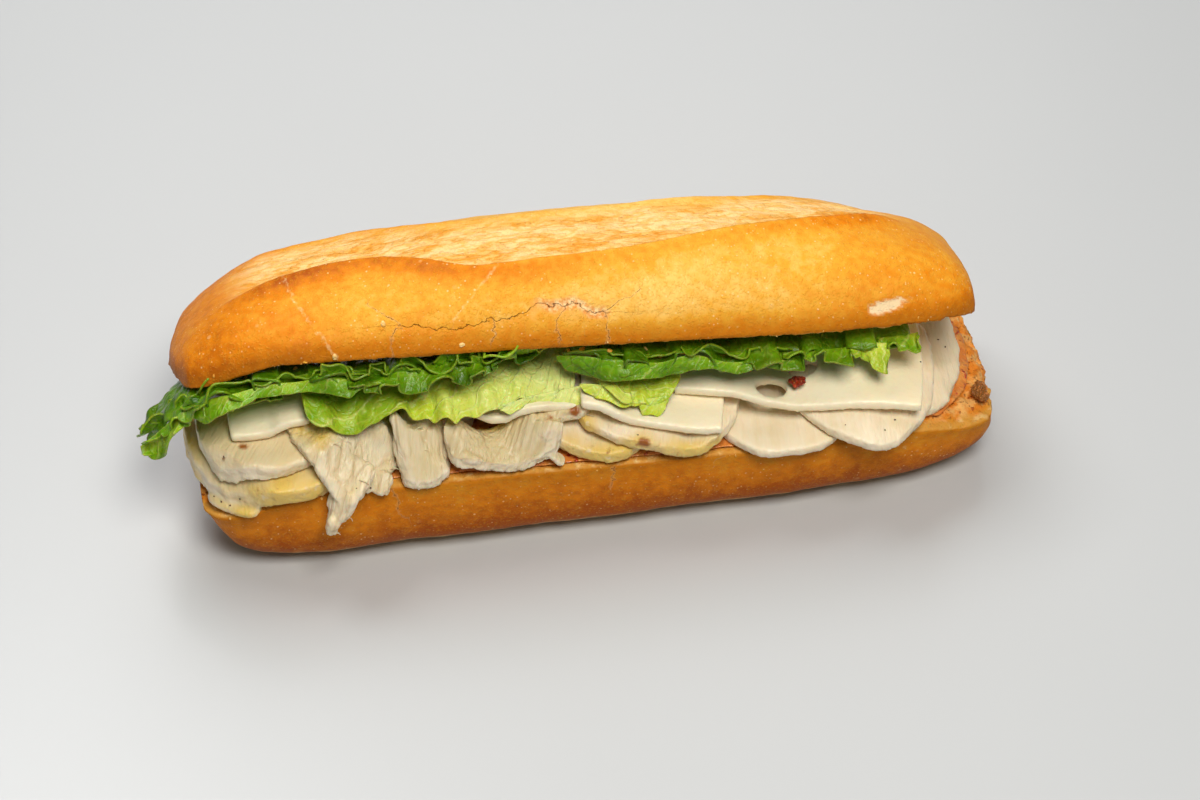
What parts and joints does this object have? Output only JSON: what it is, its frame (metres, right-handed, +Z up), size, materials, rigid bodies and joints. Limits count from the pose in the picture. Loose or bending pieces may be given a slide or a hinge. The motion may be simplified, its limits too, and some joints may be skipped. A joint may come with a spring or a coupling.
{
  "type": "chicken baguette sandwich",
  "caption": "Split baguette roll with a slashed, tilted lid, holding tomato spread, sliced and torn chicken, holed cheese and ruffled lettuce.",
  "frame": {"origin": "centre of the lower bread half's flat underside, on the surface that it rests on", "axes": "+X along the roll towards its right end, -Y the open side with the fillings, +Z up"},
  "size_m": [0.2582, 0.0916, 0.0869],
  "materials": {
    "crust": "baked crust, slightly glossy",
    "tomato_spread": "moist spread",
    "tomato": "oily dried tomato",
    "chicken": "moist cooked meat",
    "cheese": "smooth cheese",
    "lettuce_pale": "waxy leaf",
    "lettuce_mid": "waxy leaf",
    "lettuce_dark": "waxy leaf"
  },
  "bodies": {
    "root": {"bread_base": "crust", "bread_lid": "crust", "tomato_spread": "tomato_spread", "dried_tomato": "tomato", "tomato_bit": "tomato", "chicken_left_low": "chicken", "chicken_flat": "chicken", "chicken_right_end": "chicken", "chicken_middle_low": "chicken", "chicken_yellow_edge": "chicken", "chicken_round": "chicken", "chicken_round_front": "chicken", "chicken_seared": "chicken", "chicken_left_top": "chicken", "chicken_back": "chicken", "chicken_flake": "chicken", "chicken_torn": "chicken", "chicken_chunk": "chicken", "cheese_left": "cheese", "cheese_middle": "cheese", "cheese_front": "cheese", "cheese_holed": "cheese", "lettuce_middle": "lettuce_pale", "lettuce_tip": "lettuce_pale", "lettuce_fold": "lettuce_mid", "lettuce_left": "lettuce_dark", "lettuce_right": "lettuce_dark"}
  },
  "joints": []
}
